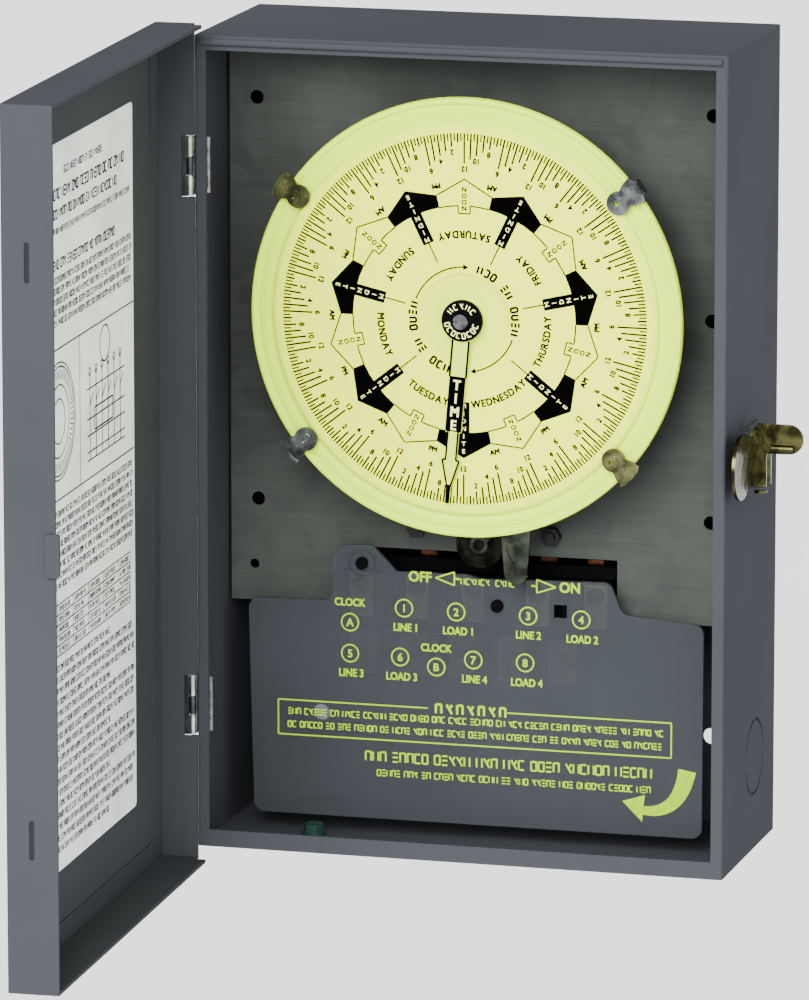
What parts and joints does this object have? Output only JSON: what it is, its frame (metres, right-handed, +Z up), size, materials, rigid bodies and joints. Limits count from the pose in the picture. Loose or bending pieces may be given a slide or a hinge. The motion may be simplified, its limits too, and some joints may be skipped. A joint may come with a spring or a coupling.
{
  "type": "enclosed seven-day time switch",
  "caption": "Wall box with hinged door holding a dial time switch: weekly dial with clip-on trippers, pointer, manual lever, terminal block under a clear cover, and a side hasp.",
  "frame": {"origin": "centre of the case's back face, where it meets the wall", "axes": "+X to the right seen from the front, +Y into the wall, +Z up"},
  "size_m": [0.2379, 0.2903, 0.3134],
  "materials": {
    "case_paint": "semi-gloss grey enamel",
    "galvanised": "spangled zinc coat",
    "bright_steel": "bright",
    "nickel": "nickel plate",
    "olive_brass": "yellow zinc plate",
    "green_paint": "green",
    "dial_yellow": "gloss lacquer",
    "black_steel": "black oxide",
    "black_plastic": "moulded",
    "ivory_plastic": "moulded",
    "terminal_brass": "plated",
    "copper": "copper alloy",
    "smoke": "translucent smoke",
    "card": "printed card"
  },
  "bodies": {
    "case": {"case_body": "case_paint", "ground_screw": "green_paint", "hinge_case_leaves": "bright_steel", "hinge_pins": "bright_steel", "hasp_bracket": "case_paint", "hasp_rivets": "case_paint", "hasp_pin": "olive_brass", "mechanism_plate": "galvanised", "plate_posts": "galvanised", "plate_screws": "bright_steel", "switch_screws": "black_steel", "terminal_block": "black_plastic", "terminal_plates_upper": "ivory_plastic", "terminal_plates_lower": "terminal_brass", "terminal_screws": "terminal_brass", "fixed_contacts": "copper", "motor_can": "galvanised", "motor_coil": "black_plastic", "day_wheel_spindle": "bright_steel", "dial_arbor": "bright_steel", "time_pointer": "dial_yellow", "hub_disc": "black_steel", "hub_screw": "nickel", "insulator_posts": "black_plastic"},
    "door": {"door_pan": "case_paint", "door_catch_tab": "case_paint", "door_label": "card", "hinge_door_leaves": "bright_steel"},
    "hasp": {"hasp_lever": "olive_brass", "hasp_spring": "bright_steel"},
    "dial_wheel": {"dial": "dial_yellow", "dial_gear": "terminal_brass"},
    "day_wheel": {"day_wheel": "terminal_brass"},
    "motor_rotor": {"motor_pinion": "terminal_brass"},
    "lever": {"manual_lever": "nickel", "trip_roller": "nickel", "lever_arbor": "bright_steel"},
    "carrier": {"contact_carrier": "ivory_plastic", "moving_contacts": "copper"},
    "cover": {"insulator": "smoke"},
    "tripper_ul": {"tripper_ul": "olive_brass", "tripper_screw_ul": "olive_brass"},
    "tripper_ur": {"tripper_ur": "nickel", "tripper_screw_ur": "nickel"},
    "tripper_ll": {"tripper_ll": "nickel", "tripper_screw_ll": "nickel"},
    "tripper_lr": {"tripper_lr": "olive_brass", "tripper_screw_lr": "olive_brass"}
  },
  "joints": [
    {"name": "door_hinge", "type": "hinge", "parent": "case", "child": "door", "pos_m": [-0.1012, -0.086, 0], "axis": [0, 0, 1], "range_deg": [-30, 88]},
    {"name": "hasp_pivot", "type": "hinge", "parent": "case", "child": "hasp", "pos_m": [0.107, -0.057, 0], "axis": [0, 0, 1], "range_deg": [0, 25], "stiffness_Nm_per_rad": 0.02, "springref_deg": -11.46},
    {"name": "dial_spin", "type": "hinge", "parent": "case", "child": "dial_wheel", "pos_m": [0, -0.074, 0.05], "axis": [0, 1, 0], "continuous": true},
    {"name": "day_wheel_spin", "type": "hinge", "parent": "case", "child": "day_wheel", "pos_m": [-0.0362, -0.062, 0.0862], "axis": [0, 1, 0], "continuous": true},
    {"name": "motor_spin", "type": "hinge", "parent": "case", "child": "motor_rotor", "pos_m": [-0.05402, -0.062, 0.10402], "axis": [0, 1, 0], "continuous": true},
    {"name": "lever_swing", "type": "hinge", "parent": "case", "child": "lever", "pos_m": [0.018, -0.069, -0.008], "axis": [0, 1, 0], "range_deg": [0, 30]},
    {"name": "contact_slide", "type": "slide", "parent": "case", "child": "carrier", "axis": [0, 0, 1], "range_m": [0, 0.00398]},
    {"name": "insulator_lift", "type": "slide", "parent": "case", "child": "cover", "axis": [0, 1, 0], "range_m": [-0.06, 0]},
    {"name": "tripper_ul_set", "type": "hinge", "parent": "dial_wheel", "child": "tripper_ul", "pos_m": [0, -0.074, 0.05], "axis": [0, 1, 0], "range_deg": [-25, 25]},
    {"name": "tripper_ur_set", "type": "hinge", "parent": "dial_wheel", "child": "tripper_ur", "pos_m": [0, -0.074, 0.05], "axis": [0, 1, 0], "range_deg": [-25, 25]},
    {"name": "tripper_ll_set", "type": "hinge", "parent": "dial_wheel", "child": "tripper_ll", "pos_m": [0, -0.074, 0.05], "axis": [0, 1, 0], "range_deg": [-25, 25]},
    {"name": "tripper_lr_set", "type": "hinge", "parent": "dial_wheel", "child": "tripper_lr", "pos_m": [0, -0.074, 0.05], "axis": [0, 1, 0], "range_deg": [-25, 25]}
  ],
  "couplings": [
    {"joint": "day_wheel_spin", "follows": "dial_spin", "ratio": -7},
    {"joint": "motor_spin", "follows": "dial_spin", "ratio": 42},
    {"joint": "lever_swing", "follows": "contact_slide", "rad_per_m": 131.5}
  ]
}
